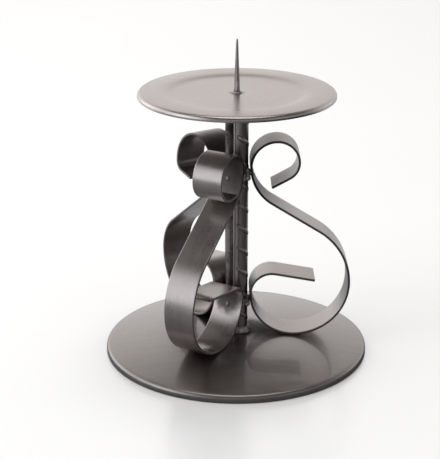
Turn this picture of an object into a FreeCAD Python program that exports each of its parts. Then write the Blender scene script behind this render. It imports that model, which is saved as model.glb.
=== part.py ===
import FreeCAD, Part
import math
import os

Vector = FreeCAD.Vector

# A pricket candlestick: a domed foot, a stem of two bars, three strip scrolls and a plate with a spike.
# Lengths are millimetres and angles degrees. The origin is on the floor under the stem, with +Z up
# and the ribbed bar towards -Y. Bend radii of sheet edges are outer ones, those of strips run mid-strip.

# Foot, a domed sheet with its edge turned down
base_diameter = 130.0
base_height = 10.6
base_sheet = 1.5
base_bend = 2.0
base_lip = 2.0

# Plate, a pressed sheet with a round recess and its edge turned down
plate_diameter = 95.0
plate_height = 132.5
plate_sheet = 1.2
plate_bend = 1.8
plate_lip = 0.9
recess_diameter = 66.0
recess_depth = 1.0
recess_bend = 18.0

# Spike, square and tapered
pricket_length = 26.0
pricket_root = 2.2
pricket_tip = 0.8
pricket_turn = 10.0

# Stem, a ribbed bar and a plain bar side by side, with crescent ribs on two faces and seams between them
bar_diameter = 7.0
stem_turn = -57.0
stem_clearance = 0.05
rib_pitch = 11.2
rib_height = 0.7
rib_width = 1.5
rib_half_reach = 68.0
rib_facing = -90.0
seam_height = 0.35
seam_width = 1.2

# Scrolls, bent from flat strip and alike in the heel that stands on the foot
strip_width = 16.0
strip_thickness = 1.2
scroll_clearance = 0.1
heel_radius = 21.4

# Each scroll's direction from the stem, the side of its tacks, its upper curl from the tongue to the stem,
# its way down from the stem to the belly, and its lower curl from the stem to the tongue
scrolls = {
    "right": {"direction": 1.0, "tack_side": -1, "tongue_length": 9.8, "tongue_rise": 28.8,
              "tip_radius": 8.8, "crown_radius": 10.5, "back_radius": 12.6,
              "shoulder_radius": 21.8, "run_fall": 31.7, "hip_radius": 31.6, "belly_radius": 27.0,
              "lower_radius": 10.5, "lower_fall": 10.0, "lower_length": 19.6},
    "back_left": {"direction": 124.0, "tack_side": 1, "tongue_length": 9.0, "tongue_rise": 12.0,
                  "tip_radius": 4.5, "crown_radius": 17.5, "back_radius": 16.5,
                  "shoulder_radius": 12.0, "run_fall": 36.0, "hip_radius": 22.0, "belly_radius": 27.0,
                  "lower_radius": 10.5, "lower_fall": 10.0, "lower_length": 19.6},
    "front_left": {"direction": 239.0, "tack_side": 1, "tongue_length": 3.0, "tongue_rise": -14.0,
                   "tip_radius": 9.0, "crown_radius": 12.0, "back_radius": 8.2,
                   "shoulder_radius": 21.8, "run_fall": 39.5, "hip_radius": 31.6, "belly_radius": 24.0,
                   "lower_radius": 5.0, "lower_fall": -6.4, "lower_length": 26.5},
}

# Welds, where the hollow is a share of a fillet's spread and climb, and a spot is burnt into a strip
foot_weld_spread = 2.0
foot_weld_climb = 3.5
top_weld_spread = 1.5
top_weld_climb = 3.5
weld_hollow = 0.3
pricket_weld_radius = 2.6
pricket_weld_height = 0.8
tack_radius = 1.5
tack_pitch = 1.8
tack_turn = 40.0
tack_drop = 4.0
spot_radius = 1.6
spot_height = 0.5
spot_drop = 6.0

up = Vector(0, 0, 1)
bar_radius = bar_diameter / 2
plate_underside = plate_height - recess_depth - plate_sheet


def sideways(length, angle):
    angle = math.radians(angle)
    return Vector(length * math.cos(angle), length * math.sin(angle), 0)


def upright(length, angle):
    angle = math.radians(angle)
    return Vector(length * math.cos(angle), 0, length * math.sin(angle))


# A path in the XZ plane is a place, which is a point and a heading, and steps of (length, 0) for a straight
# run or (radius, angle) for an arc, where a positive angle turns left
def step_on(place, size, angle):
    point, heading = place
    if angle == 0:
        return point + upright(size, heading), heading
    spoke = math.copysign(size, angle)
    centre = point + upright(spoke, heading + 90)
    return centre - upright(spoke, heading + angle + 90), heading + angle


def rail(place, steps, shift):
    edges = []
    for size, angle in steps:
        stops = [place, step_on(place, size, angle / 2), step_on(place, size, angle)]
        marks = [point + upright(shift, heading + 90) for point, heading in stops]
        edges.append(Part.Arc(*marks).toShape() if angle else Part.makeLine(marks[0], marks[2]))
        place = stops[2]
    return edges


# The face of a bent sheet or strip, seen edge on, centred on its path
def ribbon(place, steps, thickness):
    left = rail(place, steps, thickness / 2)
    right = rail(place, steps, -thickness / 2)
    head = Part.makeLine(left[0].firstVertex().Point, right[0].firstVertex().Point)
    tail = Part.makeLine(left[-1].lastVertex().Point, right[-1].lastVertex().Point)
    return Part.Face(Part.Wire(Part.sortEdges(left + right + [head, tail])[0]))


def spun(face):
    return face.revolve(Vector(), up, 360)


# The dome's arc runs tangent into the turned-down edge, so both share the rim's width and the crown's rise
dome_width = base_diameter / 2 - base_bend
dome_rise = base_height - base_lip - base_bend
dome_inner = (dome_width ** 2 + dome_rise ** 2) / (2 * dome_rise)
dome_radius = dome_inner + base_bend
dome_angle = math.degrees(math.asin(dome_width / dome_inner))
dome_centre = Vector(0, 0, base_height - dome_radius)
dome_ball = Part.makeSphere(dome_radius, dome_centre)


def make_base():
    crown = (Vector(0, 0, base_height - base_sheet / 2), 0)
    steps = [
        (dome_radius - base_sheet / 2, -dome_angle),
        (base_bend - base_sheet / 2, dome_angle - 90),
        (base_lip, 0),
    ]
    return spun(ribbon(crown, steps, base_sheet))


def make_plate():
    middle = (Vector(0, 0, plate_underside + plate_sheet / 2), 0)
    step_angle = math.degrees(math.acos(1 - recess_depth / (2 * recess_bend)))
    step_half = recess_bend * math.sin(math.radians(step_angle))
    flange = plate_diameter / 2 - plate_bend - recess_diameter / 2 - step_half
    steps = [
        (recess_diameter / 2 - step_half, 0),
        (recess_bend, step_angle),
        (recess_bend, -step_angle),
        (flange, 0),
        (plate_bend - plate_sheet / 2, -90),
        (plate_lip, 0),
    ]
    return spun(ribbon(middle, steps, plate_sheet))


def square(side, height):
    corners = [sideways(side / math.sqrt(2), pricket_turn + 90 * corner) + up * height for corner in range(5)]
    return Part.makePolygon(corners)


def make_pricket():
    foot = plate_underside + plate_sheet
    return Part.makeLoft([square(pricket_root, foot), square(pricket_tip, foot + pricket_length)], True, True)


def make_pricket_weld(pricket):
    foot = up * (plate_underside + plate_sheet)
    mound = Part.makeCone(pricket_weld_radius, pricket_root / 2, pricket_weld_height, foot)
    return mound.cut(pricket)


bar_spacing = bar_diameter + rib_height + stem_clearance
ribbed_centre = sideways(bar_spacing / 2, stem_turn)
plain_centre = -ribbed_centre


def make_plain_bar():
    foot = plain_centre + up * (base_height - base_sheet)
    return Part.makeCylinder(bar_radius, plate_underside - foot.z, foot).cut(dome_ball)


# A crescent rib is a tilted slice of a thinner rod that stands off centre, so it fades out at both ends.
# Each slice carries on, half a pitch lower, where the one on the other side of the bar ends.
def make_rib(height, facing):
    tilt = math.degrees(math.atan(rib_pitch / (2 * bar_diameter)))
    crest = bar_radius + rib_height
    waist = bar_radius * math.cos(math.radians(rib_half_reach))
    offset = (crest ** 2 - bar_radius ** 2) / (2 * (crest - waist))
    rod = Part.makeCylinder(crest - offset, 2 * rib_pitch, Vector(offset, 0, -rib_pitch))
    corner = Vector(-rib_pitch, -rib_pitch, -rib_width / 2)
    slab = Part.makeBox(2 * rib_pitch, 2 * rib_pitch, rib_width, corner)
    slab.rotate(Vector(), Vector(1, 0, 0), -tilt)
    rib = slab.common(rod)
    rib.rotate(Vector(), up, facing)
    rib.translate(ribbed_centre + up * height)
    return rib


def make_ribbed_bar():
    foot = base_height - base_sheet
    length = plate_underside - foot
    core = Part.makeCylinder(bar_radius, length, up * foot)
    seam_span = bar_diameter + 2 * seam_height
    seams = Part.makeBox(seam_span, seam_width, length, Vector(-seam_span / 2, -seam_width / 2, foot))
    bar = core.fuse(seams)
    bar.rotate(Vector(), up, rib_facing + 90)
    bar.translate(ribbed_centre)
    lowest = base_height + foot_weld_climb + rib_pitch / 2
    highest = plate_underside - top_weld_climb - rib_pitch / 2
    count = int((highest - lowest) / (rib_pitch / 2)) + 1
    ribs = [make_rib(lowest + i * rib_pitch / 2, rib_facing + 180 * (i % 2)) for i in range(count)]
    return bar.fuse(ribs).removeSplitter().cut(dome_ball)


# How far the stem stands out from its axis in a direction, and the bar that does so
def stem_reach(direction):
    out = sideways(1, direction)
    ribbed_reach = ribbed_centre.dot(out) + bar_radius + rib_height
    plain_reach = plain_centre.dot(out) + bar_radius
    return max((ribbed_reach, 0, ribbed_centre), (plain_reach, 1, plain_centre))


# How far from the stem's axis the middle of a strip stands where it touches the stem
def strip_reach(direction):
    return stem_reach(direction)[0] + scroll_clearance + strip_thickness / 2


# The run's length lets both curls touch the stem, and the heel's circle stands on the dome's
def scroll_path(shape):
    run_fall = shape["run_fall"]
    bends = shape["shoulder_radius"] + shape["hip_radius"]
    run = shape["belly_radius"] + heel_radius - bends * (1 - math.sin(math.radians(run_fall)))
    steps = [
        (shape["tongue_length"], 0),
        (shape["tip_radius"], 90 - shape["tongue_rise"]),
        (shape["crown_radius"], 90),
        (shape["back_radius"], 90),
        (shape["shoulder_radius"], 90 - run_fall),
        (run / math.cos(math.radians(run_fall)), 0),
        (shape["hip_radius"], run_fall - 90),
        (shape["belly_radius"], -90),
        (heel_radius, -90),
        (shape["lower_radius"], -90 - shape["lower_fall"]),
        (shape["lower_length"], 0),
    ]
    places = [(Vector(), shape["tongue_rise"])]
    for step in steps:
        places.append(step_on(places[-1], *step))
    upper_touch, bottom, lower_touch = (places[i][0] for i in (4, 8, 9))
    touch = strip_reach(shape["direction"])
    heel_reach = touch + heel_radius
    gap = dome_radius + scroll_clearance + strip_thickness / 2 + heel_radius
    heel_height = dome_centre.z + math.sqrt(gap ** 2 - heel_reach ** 2)
    start = Vector(touch - upper_touch.x, 0, heel_height - heel_radius - bottom.z)
    return (start, shape["tongue_rise"]), steps, upper_touch.z + start.z, lower_touch.z + start.z


def make_scroll(shape):
    start, steps, upper_height, lower_height = scroll_path(shape)
    strip = ribbon(start, steps, strip_thickness).extrude(Vector(0, strip_width, 0))
    strip.translate(Vector(0, -strip_width / 2, 0))
    strip.rotate(Vector(), up, shape["direction"])
    return strip, upper_height, lower_height


# A row of weld lumps in the groove between a strip and the bar that it touches
def make_tack(shape, height, neighbours):
    bar_centre = stem_reach(shape["direction"])[2]
    spoke = sideways(bar_radius + rib_height, shape["direction"] + shape["tack_side"] * tack_turn)
    middle = bar_centre + spoke + up * height
    lumps = [Part.makeSphere(tack_radius, middle + up * tack_pitch * i) for i in (-1, 0, 1)]
    return lumps[0].fuse(lumps[1:]).cut(neighbours)


# A low round lump inside a bend, a little below where the strip touches the stem
def make_spot(shape, height, bend_radius, strip):
    touch = strip_reach(shape["direction"])
    face = touch + strip_thickness / 2
    ball = Part.makeSphere(spot_radius, Vector(face + spot_height - spot_radius, 0, height))
    corner = Vector(face, -spot_radius, height - spot_radius)
    spot = ball.common(Part.makeBox(spot_radius, 2 * spot_radius, 2 * spot_radius, corner))
    bend_centre = Vector(touch + bend_radius, 0, height)
    spot.rotate(bend_centre, Vector(0, 1, 0), -math.degrees(spot_drop / bend_radius))
    spot.rotate(Vector(), up, shape["direction"])
    return spot.cut(strip)


# A weld that hugs both bars where they meet a sheet, hollowed to a fillet
def make_collar(height, spread, climb):
    toe = Vector(bar_radius + spread, 0, 0)
    tip = Vector(bar_radius, 0, climb)
    hollow = Vector(bar_radius + spread * weld_hollow, 0, climb * weld_hollow)
    heel = Vector(0, 0, math.copysign(base_sheet, -climb))
    section = [
        Part.makeLine(tip, Vector(0, 0, climb)),
        Part.makeLine(Vector(0, 0, climb), heel),
        Part.makeLine(heel, heel + Vector(toe.x, 0, 0)),
        Part.makeLine(heel + Vector(toe.x, 0, 0), toe),
        Part.Arc(toe, hollow, tip).toShape(),
    ]
    ring = spun(Part.Face(Part.Wire(section)))
    rings = []
    for centre in (ribbed_centre, plain_centre):
        rings.append(ring.translated(centre + up * height))
    return rings[0].fuse(rings[1])


parts = {
    "base_disc": make_base(),
    "drip_plate": make_plate(),
    "pricket": make_pricket(),
    "stem_ribbed_bar": make_ribbed_bar(),
    "stem_plain_bar": make_plain_bar(),
}
bars = [parts["stem_ribbed_bar"], parts["stem_plain_bar"]]
parts["pricket_weld"] = make_pricket_weld(parts["pricket"])
parts["stem_foot_weld"] = make_collar(base_height, foot_weld_spread, foot_weld_climb).cut(bars + [dome_ball])
above_plate = Part.makeCylinder(plate_diameter, plate_height, up * plate_underside)
top_collar = make_collar(plate_underside, top_weld_spread, -top_weld_climb)
parts["stem_top_weld"] = top_collar.cut(bars + [above_plate])
for name, shape in scrolls.items():
    strip, upper_height, lower_height = make_scroll(shape)
    parts["scroll_" + name] = strip
    parts["weld_upper_" + name] = make_tack(shape, upper_height - tack_drop, bars + [strip])
    parts["weld_lower_" + name] = make_tack(shape, lower_height - tack_drop, bars + [strip])
    parts["spot_upper_" + name] = make_spot(shape, upper_height, shape["shoulder_radius"], strip)
    parts["spot_lower_" + name] = make_spot(shape, lower_height, heel_radius, strip)

os.makedirs("parts", exist_ok=True)
for name, part in parts.items():
    part.exportStep("parts/" + name + ".step")
    print(name, len(part.Solids), "solid", part.isValid(), round(part.Volume, 2), "cubic mm")
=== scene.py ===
import bmesh
import bpy
import math
from mathutils import Matrix, Vector, noise


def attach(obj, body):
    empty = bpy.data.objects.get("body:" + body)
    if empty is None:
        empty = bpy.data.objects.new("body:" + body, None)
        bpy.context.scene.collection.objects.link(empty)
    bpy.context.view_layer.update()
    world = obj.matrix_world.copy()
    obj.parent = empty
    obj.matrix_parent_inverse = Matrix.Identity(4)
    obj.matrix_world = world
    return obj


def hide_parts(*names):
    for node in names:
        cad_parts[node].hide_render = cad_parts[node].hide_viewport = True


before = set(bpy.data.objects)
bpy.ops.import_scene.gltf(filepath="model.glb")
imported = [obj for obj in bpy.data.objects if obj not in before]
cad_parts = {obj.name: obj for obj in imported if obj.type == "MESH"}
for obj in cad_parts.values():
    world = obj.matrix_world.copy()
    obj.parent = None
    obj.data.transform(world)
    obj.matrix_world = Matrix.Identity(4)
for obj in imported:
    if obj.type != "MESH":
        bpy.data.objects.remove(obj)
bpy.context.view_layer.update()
scene = bpy.context.scene
scene.view_settings.view_transform = "Standard"
mm = 0.001  # shapes are made in mm, finishes and the studio in metres
print("frame loaded,", len(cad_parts), "nodes")


class Wire:  # an output socket, so that shader maths reads as maths
    def __init__(self, tree, socket=None):
        self.tree = tree
        self.socket = socket

    def node(self, kind, inputs, out=0, **settings):
        made = self.tree.nodes.new(kind)
        for name, value in settings.items():
            setattr(made, name, value)
        for name, value in inputs.items():
            if isinstance(value, Wire):
                self.tree.links.new(value.socket, made.inputs[name])
            else:
                made.inputs[name].default_value = value
        return Wire(self.tree, made.outputs[out] if made.outputs else None)

    def maths(self, operation, first, second=0.0):
        return self.node("ShaderNodeMath", {0: first, 1: second}, operation=operation)

    def __add__(self, other):
        return self.maths("ADD", self, other)

    def __radd__(self, other):
        return self.maths("ADD", other, self)

    def __sub__(self, other):
        return self.maths("SUBTRACT", self, other)

    def __rsub__(self, other):
        return self.maths("SUBTRACT", other, self)

    def __mul__(self, other):
        return self.maths("MULTIPLY", self, other)

    def __abs__(self):
        return self.maths("ABSOLUTE", self)

    def ease(self, low, high, start=0.0, end=1.0):  # start below low, end above high, smooth between
        inputs = {"Value": self, "From Min": low, "From Max": high, "To Min": start, "To Max": end}
        return self.node("ShaderNodeMapRange", inputs, interpolation_type="SMOOTHSTEP")


def newFinish(name):  # a material and its object coordinates
    finish = bpy.data.materials.new(name)
    finish.use_nodes = True
    finish.node_tree.nodes.clear()
    return finish, Wire(finish.node_tree).node("ShaderNodeTexCoord", {}, "Object")


def clouds(place, scale, detail=2.0):
    inputs = {"Vector": place, "Scale": scale, "Detail": detail, "Roughness": 0.6}
    return place.node("ShaderNodeTexNoise", inputs)


def waves(place, scale, height):  # the slow unevenness of a sheet
    return clouds(place, scale, 1.0) * height


def stretched(place, scale, turn=0.0):  # coordinates for a grain that runs along the smallest scale
    return place.node("ShaderNodeMapping", {"Vector": place, "Rotation": (0, 0, turn), "Scale": scale})


def oneOf(place, axis):
    return place.node("ShaderNodeSeparateXYZ", {"Vector": place}, axis)


def fromAxis(place):  # distance from the upright axis
    flat = place.node("ShaderNodeVectorMath", {0: place, 1: (1, 1, 0)}, operation="MULTIPLY")
    return flat.node("ShaderNodeVectorMath", {0: flat}, "Value", operation="LENGTH")


def frayed(place, scale, size):  # moves the edge of a patch to and fro
    return (clouds(place, scale) - 0.5) * size


def darkPatch(place, middle, fray, span, strength):  # a dark patch that fades over the span
    fromMiddle = place.node("ShaderNodeVectorMath", {0: place, 1: middle}, "Value", operation="DISTANCE")
    return (fromMiddle + fray).ease(*span, strength, 0.0)


def blend(factor, first, second):
    inputs = {"Factor": factor, 6: first, 7: second}
    return factor.node("ShaderNodeMix", inputs, 2, data_type="RGBA", clamp_factor=True)


coat = {  # the graphite coat that every piece wears
    "deep": (0.300, 0.266, 0.252, 1),
    "light": (0.415, 0.370, 0.352, 1),
    "bare": (0.58, 0.53, 0.51, 1),  # metal where the coat is rubbed thin, also the colour of painted highlights
    "darkTone": (0.050, 0.045, 0.043, 1),  # dark tone: sheared edges, burnt places, weld scale and the dark patches, also painted shade at the feet of the ribs
    "lift": 0.0,  # from deep towards light
    "cloudTone": 0.9, "grainTone": 0.5,
    "metal": 1.0,
    "roughness": 0.30,
    "cloudMatt": 0.16, "grainMatt": 0.08, "peelMatt": 0.08, "darkMatt": 0.2, "bareShine": 0.05,
    "cloudScale": 55.0, "cloudDetail": 4.0,
    "peelScale": 420.0, "peelHeight": 0.000003, "grainHeight": 0.000002,
    "clear": 0.25, "clearRoughness": 0.16,
    "clearFades": (0.2, 0.9),  # where the dark tone is strong the clear coat goes
}


def wearCoat(place, grain, wearAndHighlight, dark, wave=0.0, **changes):  # wearAndHighlight and dark are masks, wave is a height
    own = {**coat, **changes}
    cloud = clouds(place, own["cloudScale"], own["cloudDetail"])
    peel = clouds(place, own["peelScale"])
    share = (cloud - 0.5) * own["cloudTone"] + (grain - 0.5) * own["grainTone"] + (0.5 + own["lift"])
    tone = blend(dark, blend(share, own["deep"], own["light"]), own["darkTone"])
    tone = blend(wearAndHighlight, tone, own["bare"])
    matt = own["roughness"] + (cloud - 0.5) * own["cloudMatt"] + (grain - 0.5) * own["grainMatt"]
    matt = matt + (peel - 0.5) * own["peelMatt"] + dark * own["darkMatt"] - wearAndHighlight * own["bareShine"]
    height = peel * own["peelHeight"] + grain * own["grainHeight"] + wave
    bump = place.node("ShaderNodeBump", {"Strength": 1.0, "Distance": 1.0, "Height": height})
    shader = place.node("ShaderNodeBsdfPrincipled", {
        "Base Color": tone, "Metallic": own["metal"], "Roughness": matt, "Normal": bump,
        "Coat Weight": dark.ease(*own["clearFades"], own["clear"], 0.0),
        "Coat Roughness": own["clearRoughness"],
    })
    place.node("ShaderNodeOutputMaterial", {"Surface": shader})


making = {  # what all shapes share
    "bendStep": 0.9, "straightStep": 6.0, "fewestRows": 4,  # mm between rows, rows of the tightest bend
    "lipAngle": 60.0, "smoothAngle": 40.0, "uprightRise": 1.0, "seamGap": 0.001, "cutGap": 0.0001,
    "cornerSegments": 3, "endSegments": 2,
}


def everything(shape):
    return shape.verts[:] + shape.edges[:] + shape.faces[:]


def spokeAt(turn):  # a level unit vector
    return Vector((math.cos(turn), math.sin(turn), 0))


def walk(shape, tail, point, heading, steps):  # (length, 0) runs straight, (radius, angle) turns, in XZ
    for size, angle in steps:
        bend = math.radians(angle)
        forward = Vector((math.cos(math.radians(heading)), 0, math.sin(math.radians(heading))))
        if angle == 0:
            centre = point
            count = max(1, round(size / making["straightStep"]))
            point = point + forward * size
            stride = forward * (size / count)
        else:
            centre = point + Vector((-forward.z, 0, forward.x)) * math.copysign(size, angle)
            count = max(making["fewestRows"], round(size * abs(bend) / making["bendStep"]))
            point = centre + Matrix.Rotation(-bend, 3, "Y") @ (point - centre)
            stride = (0, 0, 0)
        tail = bmesh.ops.spin(
            shape, geom=tail, cent=centre, axis=(0, 1, 0), dvec=stride, angle=-bend, steps=count,
        )["geom_last"]
        heading = heading + angle
    return tail


def roundEdges(shape, edges, width, segments):
    bmesh.ops.bevel(
        shape, geom=edges, offset=width, offset_type="OFFSET", affect="EDGES",
        segments=segments, profile=0.5, material=-1,
    )


def isLipEdge(edge):
    return len(edge.link_faces) == 2 and edge.calc_face_angle() > math.radians(making["lipAngle"])


def isUpright(edge):
    return abs(edge.verts[0].co.z - edge.verts[1].co.z) > making["uprightRise"]


def turnedSheet(sheet, height, steps):  # spins a profile, gives it a wall, rounds its lip
    shape = bmesh.new()
    walk(shape, [shape.verts.new((0, 0, height))], Vector((0, 0, height)), 0.0, steps)
    bmesh.ops.spin(
        shape, geom=shape.verts[:] + shape.edges[:], cent=(0, 0, 0), axis=(0, 0, 1),
        angle=math.tau, steps=sheet["segments"], use_merge=True,
    )
    bmesh.ops.remove_doubles(shape, verts=shape.verts[:], dist=making["seamGap"])
    bmesh.ops.recalc_face_normals(shape, faces=shape.faces[:])
    bmesh.ops.solidify(shape, geom=shape.faces[:], thickness=sheet["sheet"])
    lip = [edge for edge in shape.edges if isLipEdge(edge)]
    roundEdges(shape, lip, sheet["rounding"], making["cornerSegments"])
    return shape


def finishPiece(name, shape, finish, node):
    bmesh.ops.scale(shape, vec=(mm, mm, mm), verts=shape.verts[:])
    mesh = bpy.data.meshes.new(name)
    shape.to_mesh(mesh)
    shape.free()
    mesh.shade_smooth()
    mesh.set_sharp_from_angle(angle=math.radians(making["smoothAngle"]))
    mesh.materials.append(finish)
    piece = bpy.data.objects.new(name, mesh)
    scene.collection.objects.link(piece)
    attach(piece, "root")
    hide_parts(node)
    print(name, "has", len(mesh.polygons), "faces")


foot = {  # a shallow dome, its edge turned down; groups of four numbers are what ease takes
    "diameter": 130.0, "height": 10.6, "sheet": 1.5, "bend": 2.0, "lip": 2.0,
    "segments": 192, "rounding": 0.5,
    "brushScale": (40.0, 420.0, 40.0), "brushTurn": 0.6, "brushDetail": 5.0, "waves": (28.0, 0.0002),
    # on the foot rimWearAndHighlight is a painted highlight: a light line along the rim's bend
    "speckScale": 130.0, "specks": (0.02, 0.05, 0.6, 0.0), "rimWearAndHighlight": (0.0636, 0.0650, 0.0, 0.12),
    # the dark patch round the stem's weld: where it lies, its span and its strength
    "darkAt": (0.008, -0.002, 0.0105), "darkSpan": (0.004, 0.017), "darkness": 1.0,
    "fray": (200.0, 0.009),
    "coat": {
        # painted shade: the foot wears a darker copy of the graphite coat, deeper and lifted down
        "roughness": 0.38, "clear": 0.7, "clearRoughness": 0.06, "lift": -0.35,
        "deep": (0.262, 0.232, 0.220, 1),
    },
}
domeWidth = foot["diameter"] / 2 - foot["bend"]
domeRise = foot["height"] - foot["lip"] - foot["bend"]
domeInner = (domeWidth ** 2 + domeRise ** 2) / (2 * domeRise)
domeRadius = domeInner + foot["bend"]
domeAngle = math.degrees(math.asin(domeWidth / domeInner))


def domeHeight(x, y):
    return foot["height"] - domeRadius + math.sqrt(domeRadius ** 2 - x * x - y * y)


def footFinish():
    finish, place = newFinish("footGraphite")
    far = place.node("ShaderNodeVectorMath", {0: place}, "Value", operation="LENGTH")
    brushed = stretched(place, foot["brushScale"], foot["brushTurn"])
    grain = clouds(brushed, 1.0, foot["brushDetail"])
    specks = place.node("ShaderNodeTexVoronoi", {"Vector": place, "Scale": foot["speckScale"]}, "Distance")
    # worn specks, and a painted highlight along the rim's bend
    wearAndHighlight = specks.ease(*foot["specks"]) + far.ease(*foot["rimWearAndHighlight"])
    fray = frayed(place, *foot["fray"])
    dark = darkPatch(place, foot["darkAt"], fray, foot["darkSpan"], foot["darkness"])  # a dark patch round the stem's weld, centred a little towards the right loop
    wearCoat(place, grain, wearAndHighlight, dark, waves(place, *foot["waves"]), **foot["coat"])
    return finish


footSteps = [(domeRadius, -domeAngle), (foot["bend"], domeAngle - 90), (foot["lip"], 0)]
shape = turnedSheet(foot, foot["height"], footSteps)
finishPiece("footDisc", shape, footFinish(), "base_disc")

plate = {  # a pressed sheet with a shallow recess, its edge turned down
    "diameter": 95.0, "height": 132.5, "sheet": 1.2, "bend": 1.8, "lip": 0.9,
    "recessDiameter": 66.0, "recessDepth": 1.0, "recessBend": 18.0, "segments": 192, "rounding": 0.4,
    "ringScale": 600.0, "ringDetail": 1.0, "waves": (34.0, 0.0002),
    "rimWearAndHighlight": (0.0458, 0.0472, 0.0, 0.6), "middleSoot": (0.0048, 0.0022, 0.0, 0.5),
    # painted light: the plate wears a lighter copy of the graphite coat, its bare metal lighter too
    "coat": {"lift": 0.4, "bare": (0.64, 0.585, 0.565, 1)},
}
plateFloor = plate["height"] - plate["recessDepth"]
plateUnder = plateFloor - plate["sheet"]


def plateFinish():
    finish, place = newFinish("plateGraphite")
    far = fromAxis(place)
    rings = place.node("ShaderNodeCombineXYZ", {"X": far * plate["ringScale"]})
    grain = clouds(rings, 1.0, plate["ringDetail"])
    wearAndHighlight = far.ease(*plate["rimWearAndHighlight"])
    dark = far.ease(*plate["middleSoot"])
    wearCoat(place, grain, wearAndHighlight, dark, waves(place, *plate["waves"]), **plate["coat"])
    return finish


stepAngle = math.degrees(math.acos(1 - plate["recessDepth"] / (2 * plate["recessBend"])))
stepHalf = plate["recessBend"] * math.sin(math.radians(stepAngle))
plateSteps = [
    (plate["recessDiameter"] / 2 - stepHalf, 0),
    (plate["recessBend"] - plate["sheet"] / 2, stepAngle),
    (plate["recessBend"] + plate["sheet"] / 2, -stepAngle),
    (plate["diameter"] / 2 - plate["bend"] - plate["recessDiameter"] / 2 - stepHalf, 0),
    (plate["bend"], -90),
    (plate["lip"], 0),
]
shape = turnedSheet(plate, plateFloor, plateSteps)
finishPiece("dripPlate", shape, plateFinish(), "drip_plate")
print("sheets made")

spike = {  # square and tapered, with softened corners and a blunt point
    "length": 26.0, "root": 2.2, "tip": 0.8, "turn": 10.0, "corner": 0.22, "rows": 12,
    "drawnScale": (2200.0, 2200.0, 90.0), "drawnDetail": 3.0, "roughness": 0.34,
    "tipWear": (0.150, 0.1575, 0.0, 0.35), "rootSoot": (0.1340, 0.1315, 0.0, 0.7),
}


def spikeFinish():
    finish, place = newFinish("spikeGraphite")
    grain = clouds(stretched(place, spike["drawnScale"]), 1.0, spike["drawnDetail"])
    high = oneOf(place, "Z")
    wearAndHighlight = high.ease(*spike["tipWear"])
    dark = high.ease(*spike["rootSoot"])
    wearCoat(place, grain, wearAndHighlight, dark, roughness=spike["roughness"])
    return finish


def taperedSquare():
    shape = bmesh.new()
    turn = Matrix.Rotation(math.radians(spike["turn"]), 4, "Z")
    bmesh.ops.create_circle(
        shape, cap_ends=True, segments=4, radius=spike["root"] / math.sqrt(2),
        matrix=Matrix.Translation((0, 0, plateFloor)) @ turn,
    )
    rows = spike["rows"]
    sides = [spike["root"] + (spike["tip"] - spike["root"]) * row / rows for row in range(rows + 1)]
    tail = shape.faces[:]
    for before, after in zip(sides, sides[1:]):
        grown = bmesh.ops.extrude_face_region(shape, geom=tail)["geom"]
        tail = [part for part in grown if isinstance(part, bmesh.types.BMFace)]
        bmesh.ops.translate(shape, vec=(0, 0, spike["length"] / rows), verts=tail[0].verts[:])
        bmesh.ops.scale(shape, vec=(after / before, after / before, 1), verts=tail[0].verts[:])
    bmesh.ops.recalc_face_normals(shape, faces=shape.faces[:])
    corners = [edge for edge in shape.edges if isUpright(edge)]
    roundEdges(shape, corners + tail[0].edges[:], spike["corner"], making["cornerSegments"])
    return shape


finishPiece("candleSpike", taperedSquare(), spikeFinish(), "pricket")

stem = {  # a plain bar and a ribbed bar side by side
    "barRadius": 3.5, "turn": -57.0, "spacing": 7.75, "segments": 128, "rows": 24, "sunk": 0.6, "skin": 0.01,
    "ribPitch": 11.2, "ribHeight": 0.7, "ribWidth": 1.5, "ribReach": 68.0, "ribFacing": -60.0,
    "ribSoft": 0.25, "ribsFrom": 19.7, "ribsTo": 121.2,
    "seamHeight": 0.35, "seamWidth": 1.2, "seamSoft": 0.2,
    "drawnScale": (900.0, 900.0, 45.0), "drawnDetail": 4.0, "roughness": 0.34,
    "patchScale": 160.0, "patchDetail": 3.0,
    "patchWear": (0.66, 0.8, 0.0, 0.2), "patchSoot": (0.35, 0.75, 0.0),
    "crestHighlight": (0.0037, 0.0041, 0.0, 0.55), "darkUnworn": (0.6, 1.0, 1.0, 0.3),
    "ribShadeFrom": (0.00352, 0.0036), "ribShadeTo": (0.0037, 0.0039, 0.7, 0.0), "topDark": (0.095, 0.118, 0.0),
    "plainDark": (0.85, 0.7), "ribbedDark": (0.15, 0.1),  # soot in patches, and darker towards the top under the plate
}
stemOut = spokeAt(math.radians(stem["turn"]))
ribbedCentre = stemOut * stem["spacing"] / 2
plainCentre = stemOut * -stem["spacing"] / 2


def barFinish(name, centre, darkTone):
    finish, place = newFinish(name)
    inPatches, atTop = darkTone
    grain = clouds(stretched(place, stem["drawnScale"]), 1.0, stem["drawnDetail"])
    patch = clouds(place, stem["patchScale"], stem["patchDetail"])
    inputs = {"Vector": place, "Location": centre * mm}
    far = fromAxis(place.node("ShaderNodeMapping", inputs, vector_type="TEXTURE"))
    ribShade = far.ease(*stem["ribShadeFrom"]) * far.ease(*stem["ribShadeTo"])  # painted shade along the feet of the ribs
    # the dark mask: soot in patches, painted shade at the feet of the ribs, and darker towards the top
    dark = patch.ease(*stem["patchSoot"], inPatches) + ribShade + oneOf(place, "Z").ease(*stem["topDark"], atTop)
    wearAndHighlight = patch.ease(*stem["patchWear"]) + far.ease(*stem["crestHighlight"])  # painted highlight: the rib crests are lighter, in the rubbed metal's colour
    wearCoat(place, grain, wearAndHighlight * dark.ease(*stem["darkUnworn"]), dark, roughness=stem["roughness"])
    return finish


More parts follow.
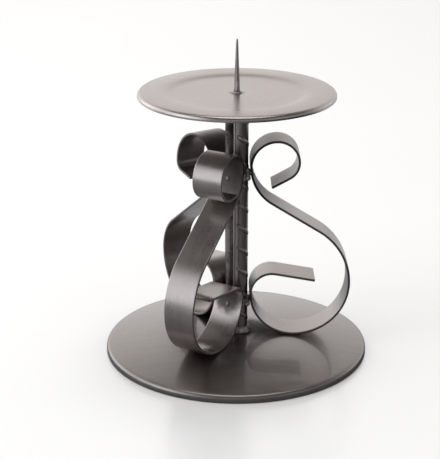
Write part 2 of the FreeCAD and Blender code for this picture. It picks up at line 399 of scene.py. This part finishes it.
def roundBar(centre):
    shape = bmesh.new()
    low = domeHeight(centre.x, centre.y) - stem["sunk"]
    bmesh.ops.create_circle(
        shape, cap_ends=True, segments=stem["segments"], radius=stem["barRadius"],
        matrix=Matrix.Translation((centre.x, centre.y, low)),
    )
    walk(shape, everything(shape), Vector((0, 0, low)), 90.0, [(plateUnder - low, 0)])
    bmesh.ops.recalc_face_normals(shape, faces=shape.faces[:])
    return shape


def smooth(low, high, value):
    share = min(1.0, max(0.0, (value - low) / (high - low)))
    return share * share * (3 - 2 * share)


def band(width, soft, value):  # 1 within the width, 0 outside
    return 1 - smooth(width / 2 - soft, width / 2 + soft, abs(value))


def ribLift(angle, height):  # how far the skin stands out, for crescent ribs on two faces and two seams
    radius = stem["barRadius"]
    halfPitch = stem["ribPitch"] / 2
    tilt = math.atan(stem["ribPitch"] / (4 * radius))
    crest = radius + stem["ribHeight"]
    waist = radius * math.cos(math.radians(stem["ribReach"]))
    offset = (crest ** 2 - radius ** 2) / (2 * (crest - waist))
    nearest = round((height - stem["ribsFrom"]) / halfPitch)
    last = int((stem["ribsTo"] - stem["ribsFrom"]) / halfPitch)
    side = radius * math.sin(angle - math.radians(stem["ribFacing"] + 90))
    lift = stem["seamHeight"] * band(stem["seamWidth"], stem["seamSoft"], side)
    for index in range(max(0, nearest - 2), min(last, nearest + 2) + 1):  # ribs of both faces near by
        turn = angle - math.radians(stem["ribFacing"] + 180 * (index % 2))
        above = height - stem["ribsFrom"] - index * halfPitch
        across = radius * math.sin(turn) * math.sin(tilt) + above * math.cos(tilt)
        spoke = max(0.0, (crest - offset) ** 2 - (offset * math.sin(turn)) ** 2)
        rise = offset * math.cos(turn) + math.sqrt(spoke) - radius
        lift = max(lift, rise * band(stem["ribWidth"], stem["ribSoft"], across))
    return lift


def ribbedBar():
    shape = roundBar(ribbedCentre)
    upright = [edge for edge in shape.edges if isUpright(edge)]
    bmesh.ops.subdivide_edges(shape, edges=upright, cuts=stem["rows"], use_grid_fill=True)
    for vert in shape.verts:
        spoke = Vector((vert.co.x - ribbedCentre.x, vert.co.y - ribbedCentre.y, 0))
        if spoke.length > stem["barRadius"] - stem["skin"]:  # not the middle of an end
            vert.co += spoke.normalized() * ribLift(math.atan2(spoke.y, spoke.x), vert.co.z)
    return shape


finish = barFinish("plainBarGraphite", plainCentre, stem["plainDark"])
finishPiece("plainBar", roundBar(plainCentre), finish, "stem_plain_bar")
finish = barFinish("ribbedBarGraphite", ribbedCentre, stem["ribbedDark"])
finishPiece("ribbedBar", ribbedBar(), finish, "stem_ribbed_bar")
print("stem made")

strip = {  # flat strip bent to an S with a tongue in each curl
    "width": 16.0, "thickness": 1.2, "corner": 0.28, "supportAt": 7.2, "endRounding": 0.12,
    "rolledScale": (24.0, 600.0, 24.0), "rolledDetail": 1.0, "waves": (60.0, 0.00012),
    "edgeBand": (0.00788, 0.00796), "edgeSoot": 0.4, "rubBand": (0.00745, 0.00775),
    "rubScale": 220.0, "rubbed": (0.35, 0.7, 0.15, 0.6), "darkUnrubbed": (0.4, 1.0, 1.0, 0.0),
    "darkness": 0.85, "darkCore": 0.004, "fray": (260.0, 0.005),
}
scrolls = {  # start is a reach and a height, touch two heights, darkPatches reach, height and radius, all in mm
    "Right": {
        "node": "right", "direction": 1.0, "tackSide": -1, "start": (16.905, 86.415), "rise": 28.8,
        "touch": (96.75, 31.47), "bends": (21.8, 21.4),
        "darkPatches": [(8.0, 93.75, 34.0), (8.0, 28.5, 12.0)],
        "steps": [  # from the upper tongue to the lower one
            (9.8, 0), (8.8, 61.2), (10.5, 90), (12.6, 90), (21.8, 58.3), (27.104, 0),
            (31.6, -58.3), (27.0, -90), (21.4, -90), (10.5, -100), (19.6, 0),
        ],
    },
    "BackLeft": {
        "node": "back_left", "direction": 124.0, "tackSide": 1, "start": (29.707, 82.189), "rise": 12.0,
        "touch": (89.46, 31.37), "bends": (12.0, 21.4),
        "darkPatches": [(12.0, 103.0, 26.0), (8.0, 28.4, 12.0)],
        "steps": [
            (9.0, 0), (4.5, 78.0), (17.5, 90), (16.5, 90), (12.0, 54.0), (42.502, 0),
            (22.0, -54.0), (27.0, -90), (21.4, -90), (10.5, -100), (19.6, 0),
        ],
    },
    "FrontLeft": {
        "node": "front_left", "direction": 239.0, "tackSide": 1, "start": (12.711, 84.906), "rise": -14.0,
        "touch": (96.71, 31.50), "bends": (21.8, 21.4),
        "darkPatches": [(8.0, 93.7, 19.0), (8.0, 28.5, 9.5)],
        "steps": [
            (3.0, 0), (9.0, 104.0), (12.0, 90), (8.2, 90), (21.8, 50.5), (33.652, 0),
            (31.6, -50.5), (24.0, -90), (21.4, -90), (5.0, -83.6), (26.5, 0),
        ],
    },
}


def stripFinish(name, direction, darkPatches):
    finish, place = newFinish(name)
    inputs = {"Vector": place, "Rotation": (0, 0, math.radians(direction))}
    turned = place.node("ShaderNodeMapping", inputs, vector_type="TEXTURE")
    grain = clouds(stretched(turned, strip["rolledScale"]), 1.0, strip["rolledDetail"])
    across = abs(oneOf(turned, "Y"))
    edge = across.ease(*strip["edgeBand"])
    patches = clouds(place, strip["rubScale"]).ease(*strip["rubbed"])
    fray = frayed(place, *strip["fray"])
    dark = edge * strip["edgeSoot"]
    # dark patches round the weld points, reaching into the curls; the back left scroll's upper one lies on
    # its curl, above the weld
    for reach, height, radius in darkPatches:
        middle = Vector((reach, 0, height)) * mm
        dark = dark + darkPatch(turned, middle, fray, (strip["darkCore"], radius * mm), strip["darkness"])
    wearAndHighlight = across.ease(*strip["rubBand"]) * (1 - edge) * patches * dark.ease(*strip["darkUnrubbed"])
    wearCoat(place, grain, wearAndHighlight, dark, waves(place, *strip["waves"]))
    return finish


def bentStrip(scroll):
    shape = bmesh.new()
    point = Vector((scroll["start"][0], 0, scroll["start"][1]))
    bmesh.ops.create_grid(shape, x_segments=1, y_segments=1, size=0.5)  # a square of side 1
    bmesh.ops.scale(shape, vec=(strip["thickness"], strip["width"], 1), verts=shape.verts[:])
    bmesh.ops.bevel(
        shape, geom=shape.verts[:], offset=strip["corner"], offset_type="OFFSET", affect="VERTICES",
        segments=making["cornerSegments"], profile=0.5, material=-1,
    )
    for side in (-1, 1):  # support rows keep the flats flat
        bmesh.ops.bisect_plane(
            shape, geom=everything(shape), dist=making["cutGap"],
            plane_co=(0, side * strip["supportAt"], 0), plane_no=(0, 1, 0),
        )
    place = Matrix.Translation(point) @ Matrix.Rotation(math.radians(90 - scroll["rise"]), 4, "Y")
    bmesh.ops.transform(shape, matrix=place, verts=shape.verts[:])
    head = shape.faces[:]
    tail = walk(shape, everything(shape), point, scroll["rise"], scroll["steps"])
    ends = set(head) | {part for part in tail if isinstance(part, bmesh.types.BMFace)}
    bmesh.ops.recalc_face_normals(shape, faces=shape.faces[:])
    rim = [edge for edge in shape.edges if len(ends.intersection(edge.link_faces)) == 1]
    roundEdges(shape, rim, strip["endRounding"], making["endSegments"])
    turn = Matrix.Rotation(math.radians(scroll["direction"]), 3, "Z")
    bmesh.ops.rotate(shape, cent=(0, 0, 0), matrix=turn, verts=shape.verts[:])
    return shape


for name, scroll in scrolls.items():
    finish = stripFinish("scroll" + name + "Graphite", scroll["direction"], scroll["darkPatches"])
    finishPiece("scroll" + name, bentStrip(scroll), finish, "scroll_" + scroll["node"])
print("scrolls made")

weld = {  # rows of lumps melted into one bead
    "tackRadius": 1.5, "tackPitch": 1.8, "tackTurn": 40.0, "tackDrop": 4.0, "clearance": 0.1,
    "spotRadius": 1.6, "spotHeight": 0.5, "spotDrop": 6.0, "spotSunk": 0.1,
    "lumpDetail": 3, "uneven": 0.18, "unevenScale": 0.37, "ripple": 0.12, "rippleScale": 1.1,
    "voxel": 0.18, "softening": 4, "overlap": 0.5,
    "footSpread": 0.7, "footCount": 16, "footLump": 1.3, "footRise": 0.35,
    "upperInset": 0.5, "upperLump": 0.8, "upperRise": 1.7,  # the foot weld's second row
    "topSpread": 0.35, "topCount": 18, "topLump": 1.15, "topDrop": 1.2,
    "spikeSpread": 1.55, "spikeCount": 9, "spikeLump": 0.85,
    "patchScale": 330.0, "rubBand": (0.48, 0.64, 0.0), "sootBand": (0.35, 0.5), "sootFall": 0.55,
    "grainScale": 700.0, "grainDetail": 4.0, "coat": {"grainHeight": 0.00015, "metal": 0.5},
    "beadWear": (0.5, 0.85), "spotWear": (0.15, 1.0),  # how rubbed, how burnt
}


def weldFinish(name, wear):
    finish, place = newFinish(name)
    rubbed, burnt = wear
    patch = clouds(place, weld["patchScale"])
    grain = clouds(place, weld["grainScale"], weld["grainDetail"])
    wearAndHighlight = patch.ease(*weld["rubBand"], rubbed)
    dark = patch.ease(*weld["sootBand"], burnt, burnt - weld["sootFall"])
    wearCoat(place, grain, wearAndHighlight, dark, **weld["coat"])
    return finish


beadFinish = weldFinish("weldBead", weld["beadWear"])
spotFinish = weldFinish("burntSpot", weld["spotWear"])


def addLump(shape, centre, radius):
    swell = 1 + weld["uneven"] * noise.noise(centre * weld["unevenScale"])
    made = bmesh.ops.create_icosphere(
        shape, subdivisions=weld["lumpDetail"], radius=radius * swell, matrix=Matrix.Translation(centre),
    )
    for vert in made["verts"]:
        vert.co += vert.normal * weld["ripple"] * noise.noise(vert.co * weld["rippleScale"])


def meltLumps(name, lumps, node):
    shape = bmesh.new()
    for centre, radius in lumps:
        addLump(shape, centre, radius)
    mesh = bpy.data.meshes.new(name)
    shape.to_mesh(mesh)
    shape.free()
    rough = bpy.data.objects.new(name + "Lumps", mesh)
    scene.collection.objects.link(rough)
    melt = rough.modifiers.new("melt", "REMESH")
    melt.mode = "VOXEL"
    melt.voxel_size = weld["voxel"]
    rough.modifiers.new("soften", "SMOOTH").iterations = weld["softening"]
    melted = bpy.data.meshes.new_from_object(rough.evaluated_get(bpy.context.evaluated_depsgraph_get()))
    bpy.data.objects.remove(rough)
    shape = bmesh.new()
    shape.from_mesh(melted)
    bpy.data.meshes.remove(melted)
    finishPiece(name, shape, beadFinish, node)


def burntSpot(name, turn, reach, height, bend, node):  # a low cap on a strip's face, below the touch
    shape = bmesh.new()
    addLump(shape, Vector((reach + weld["spotHeight"] - weld["spotRadius"], 0, height)), weld["spotRadius"])
    cut = bmesh.ops.bisect_plane(
        shape, geom=everything(shape), dist=making["cutGap"],
        plane_co=(reach - weld["spotSunk"], 0, 0), plane_no=(1, 0, 0), clear_inner=True,
    )["geom_cut"]
    bmesh.ops.contextual_create(shape, geom=[part for part in cut if isinstance(part, bmesh.types.BMEdge)])
    bmesh.ops.recalc_face_normals(shape, faces=shape.faces[:])
    centre = Vector((reach - strip["thickness"] / 2 + bend, 0, height))
    down = Matrix.Rotation(-weld["spotDrop"] / bend, 3, "Y")
    bmesh.ops.rotate(shape, cent=centre, matrix=down, verts=shape.verts[:])
    bmesh.ops.rotate(shape, cent=(0, 0, 0), matrix=Matrix.Rotation(turn, 3, "Z"), verts=shape.verts[:])
    finishPiece(name, shape, spotFinish, node)


for name, scroll in scrolls.items():
    turn = math.radians(scroll["direction"])
    out = spokeAt(turn)
    onRibbed = ribbedCentre.dot(out) + stem["ribHeight"] > plainCentre.dot(out)
    centre = ribbedCentre if onRibbed else plainCentre
    reach = centre.dot(out) + stem["barRadius"] + (stem["ribHeight"] if onRibbed else 0) + weld["clearance"]
    tackTurn = turn + scroll["tackSide"] * math.radians(weld["tackTurn"])
    spoke = spokeAt(tackTurn) * (stem["barRadius"] + stem["ribHeight"])
    for level, height, bend in zip(("Upper", "Lower"), scroll["touch"], scroll["bends"]):
        ending = level.lower() + "_" + scroll["node"]
        middle = centre + spoke + Vector((0, 0, height - weld["tackDrop"]))
        places = [middle + Vector((0, 0, row * weld["tackPitch"])) for row in (-1, 0, 1)]
        lumps = [(place, weld["tackRadius"]) for place in places]
        meltLumps("weld" + name + level, lumps, "weld_" + ending)
        face = reach + strip["thickness"]
        burntSpot("spot" + name + level, turn, face, height, bend, "spot_" + ending)


def roundBars(spread, count):  # points round both bars, outside each other
    points = []
    for centre, other in ((ribbedCentre, plainCentre), (plainCentre, ribbedCentre)):
        for index in range(count):
            point = centre + spokeAt(math.tau * index / count) * (stem["barRadius"] + spread)
            if (point - other).length > stem["barRadius"] + spread * weld["overlap"]:
                points.append(point)
    return points


lumps = []
for point in roundBars(weld["footSpread"], weld["footCount"]):
    ground = domeHeight(point.x, point.y)
    inner = point * (1 - weld["upperInset"] / point.length)
    lumps.append((Vector((point.x, point.y, ground + weld["footRise"])), weld["footLump"]))
    upper = Vector((inner.x, inner.y, ground + weld["upperRise"]))
    lumps.append((upper, weld["footLump"] * weld["upperLump"]))
meltLumps("footWeld", lumps, "stem_foot_weld")
lift = Vector((0, 0, plateUnder - weld["topDrop"]))
lumps = [(point + lift, weld["topLump"]) for point in roundBars(weld["topSpread"], weld["topCount"])]
meltLumps("topWeld", lumps, "stem_top_weld")
lift = Vector((0, 0, plateFloor))
lumps = []
for index in range(weld["spikeCount"]):
    spoke = spokeAt(math.tau * index / weld["spikeCount"]) * weld["spikeSpread"]
    lumps.append((spoke + lift, weld["spikeLump"]))
meltLumps("spikeWeld", lumps, "pricket_weld")
print("welds made")

studio = {  # a pale floor, a bright backdrop behind, a softbox on the left
    "floorSize": 6.0, "floorTone": (0.88, 0.88, 0.88, 1), "floorShine": 1.0,
    "floorCoat": 0.9, "floorCoatRoughness": 0.25,
    "glossScale": 3.0, "glossDetail": 1.0, "gloss": (0.3, 0.7, 0.2, 0.26),
    "bounceAcross": (-0.25, 0.2, 0.32, 0.045), "bounceDeep": (0.0, 0.22, 0.0, 0.6),
    "bounceRed": 0.97, "bounceBlue": 1.05,
    "backX": (-0.2, 0.6, 1.0, 0.65), "backY": (-0.1, 0.75), "backZ": (0.46, 0.84, 1.0, 0.14),
    "sideX": (-0.45, -0.85), "sideY": (-0.3, 0.05, 1.0, 0.55), "sideZ": (0.62, 0.85, 1.0, 0.1),
    "aboveZ": (0.9, 0.96),
    "frontY": (-0.35, -0.75), "rightX": (0.45, 0.8), "wallsZ": (0.32, 0.6, 1.0, 0.0),
    "dim": 0.085, "backdrop": 1.05, "leftPanel": 1.7, "overhead": 1.6, "otherWalls": 0.24, "fill": 0.75,
    "glowTint": (1.0, 0.985, 0.975, 1), "leftTint": (0.95, 1.0, 1.06, 1),
    "keyPlace": (-1.1, -0.5, 0.75), "keySize": 0.9, "keyPower": 5.7,
    "topPlace": (0.1, 0.25, 1.5), "topSize": 0.7, "topPower": 6.5,
    "aim": (0, 0, 0.06),
}


def floorFinish():  # the camera sees a pale gloss, the metal a softer and darker floor whose colour has painted light, bright on the left and dim to the right and front
    finish, place = newFinish("paleFloor")
    seen = place.node("ShaderNodeBsdfPrincipled", {
        "Base Color": studio["floorTone"], "Specular IOR Level": studio["floorShine"],
        "Roughness": clouds(place, studio["glossScale"], studio["glossDetail"]).ease(*studio["gloss"]),
        "Coat Weight": studio["floorCoat"], "Coat Roughness": studio["floorCoatRoughness"],
    })
    # painted light: the floor's colour for other rays falls off from the left towards the right and the front
    bounce = oneOf(place, "X").ease(*studio["bounceAcross"]) + oneOf(place, "Y").ease(*studio["bounceDeep"])
    tinted = {0: bounce * studio["bounceRed"], 1: bounce, 2: bounce * studio["bounceBlue"]}
    thrown = place.node("ShaderNodeBsdfDiffuse", {"Color": place.node("ShaderNodeCombineColor", tinted)})
    direct = place.node("ShaderNodeLightPath", {}, "Is Camera Ray")
    shader = place.node("ShaderNodeMixShader", {0: direct, 1: thrown, 2: seen})
    place.node("ShaderNodeOutputMaterial", {"Surface": shader})
    return finish


shape = bmesh.new()
bmesh.ops.create_grid(shape, x_segments=1, y_segments=1, size=studio["floorSize"])
mesh = bpy.data.meshes.new("floor")
shape.to_mesh(mesh)
shape.free()
mesh.materials.append(floorFinish())
floor = bpy.data.objects.new("floor", mesh)
scene.collection.objects.link(floor)

room = bpy.data.worlds.new("studioRoom")
room.use_nodes = True
room.node_tree.nodes.clear()
ray = Wire(room.node_tree).node("ShaderNodeTexCoord", {}, "Generated")
rayX = oneOf(ray, "X")
rayY = oneOf(ray, "Y")
rayZ = oneOf(ray, "Z")
back = rayY.ease(*studio["backY"]) * rayZ.ease(*studio["backZ"]) * rayX.ease(*studio["backX"])
side = rayX.ease(*studio["sideX"]) * rayZ.ease(*studio["sideZ"]) * rayY.ease(*studio["sideY"])
above = rayZ.ease(*studio["aboveZ"])
walls = (rayY.ease(*studio["frontY"]) + rayX.ease(*studio["rightX"])) * rayZ.ease(*studio["wallsZ"])
glow = back * studio["backdrop"] + side * studio["leftPanel"] + above * studio["overhead"]
glow = glow + walls * studio["otherWalls"] + studio["dim"]
shiny = ray.node("ShaderNodeLightPath", {}, "Is Glossy Ray")
seen = ray.node("ShaderNodeLightPath", {}, "Is Camera Ray")
strength = shiny * glow + (1 - shiny) * studio["fill"] + seen * (1 - studio["fill"])
tint = blend(side, studio["glowTint"], studio["leftTint"])
light = ray.node("ShaderNodeBackground", {"Color": tint, "Strength": strength})
ray.node("ShaderNodeOutputWorld", {"Surface": light})
scene.world = room


def softbox(name, place, size, power):
    lamp = bpy.data.lights.new(name, "AREA")
    lamp.size = size
    lamp.energy = power
    box = bpy.data.objects.new(name, lamp)
    box.location = place
    box.rotation_mode = "QUATERNION"
    box.rotation_quaternion = (Vector(studio["aim"]) - Vector(place)).to_track_quat("-Z", "Y")
    box.visible_camera = False
    box.visible_glossy = False  # it lights the floor, the room makes the highlights
    scene.collection.objects.link(box)


softbox("keySoftbox", studio["keyPlace"], studio["keySize"], studio["keyPower"])
softbox("topSoftbox", studio["topPlace"], studio["topSize"], studio["topPower"])
print("studio lit")

view = {  # pitch in degrees, yaw in radians
    "place": (0.0, -0.6604, 0.3024), "pitch": 19.97, "yaw": 0.0122, "lens": 112.2, "sensor": 36.0,
}
lens = bpy.data.cameras.new("photoView")
lens.lens = view["lens"]
lens.sensor_width = view["sensor"]
camera = bpy.data.objects.new("photoView", lens)
camera.location = view["place"]
camera.rotation_euler = (math.radians(90 - view["pitch"]), 0, view["yaw"])
scene.collection.objects.link(camera)
scene.camera = camera
print("camera set")
